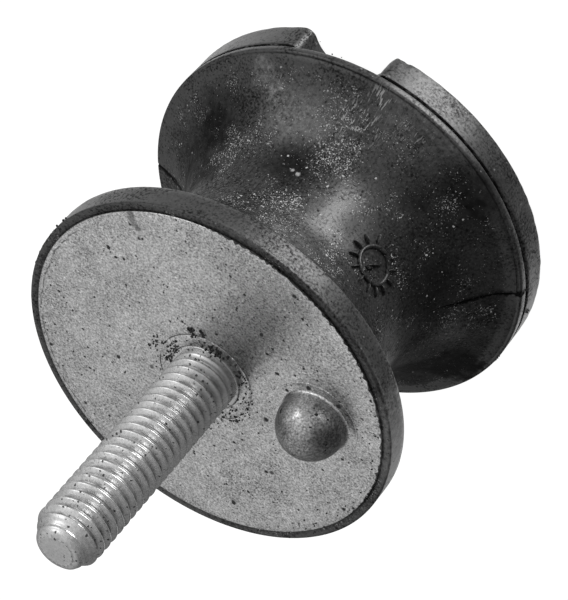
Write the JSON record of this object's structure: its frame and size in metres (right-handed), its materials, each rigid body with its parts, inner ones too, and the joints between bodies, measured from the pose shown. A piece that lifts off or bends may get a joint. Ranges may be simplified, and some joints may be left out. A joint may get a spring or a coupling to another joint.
{
  "type": "transmission mount",
  "caption": "Waisted round rubber mount bonded between steel discs, with a threaded stud and a locating dome at the front and a notch in the rear rim.",
  "frame": {"origin": "centre of the rear face, where the mount's axis meets it", "axes": "+Z along the axis towards the stud's tip, +X towards the locating dome, +Y towards the notch in the rear rim"},
  "size_m": [0.0489, 0.0489, 0.0633],
  "materials": {
    "rubber": "matt black moulded rubber with light dust",
    "disc_steel": "dull plated steel",
    "zinc_steel": "bright zinc plate"
  },
  "bodies": {
    "root": {"rubber_body": "rubber", "front_plate": "disc_steel", "front_stud": "zinc_steel", "rear_plate": "disc_steel", "rear_bush": "zinc_steel"}
  },
  "joints": []
}
